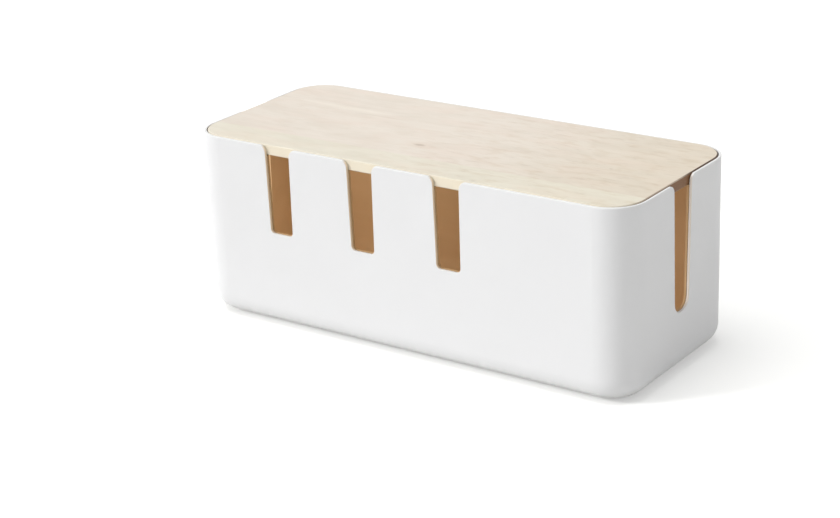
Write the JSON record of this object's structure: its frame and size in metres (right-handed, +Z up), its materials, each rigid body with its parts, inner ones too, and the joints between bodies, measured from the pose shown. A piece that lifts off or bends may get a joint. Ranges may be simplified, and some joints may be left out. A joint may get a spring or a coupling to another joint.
{
  "type": "cable organizer box",
  "caption": "Long rounded box with a drop-in wooden lid that hides a power strip; upright slots in the front and ends let the cables out.",
  "frame": {"origin": "middle of the box's plan, on the surface that its feet stand on", "axes": "+X along the length towards the end shown in the picture, the front wall with the row of slots faces -Y, +Z up"},
  "size_m": [0.303, 0.124, 0.116],
  "materials": {
    "white_plastic": "smooth satin white",
    "brown_plastic": "matt tan",
    "pale_wood": "pale grain along the length, matt clear coat",
    "foot_rubber": "matt grey"
  },
  "bodies": {
    "box": {"shell": "white_plastic", "liner": "brown_plastic", "foot_front_left": "foot_rubber", "foot_front_right": "foot_rubber", "foot_back_left": "foot_rubber", "foot_back_right": "foot_rubber"},
    "lid": {"lid": "pale_wood"}
  },
  "joints": [
    {"name": "lid_lift", "type": "slide", "parent": "box", "child": "lid", "axis": [0, 0, 1], "range_m": [0, 0.08]}
  ]
}
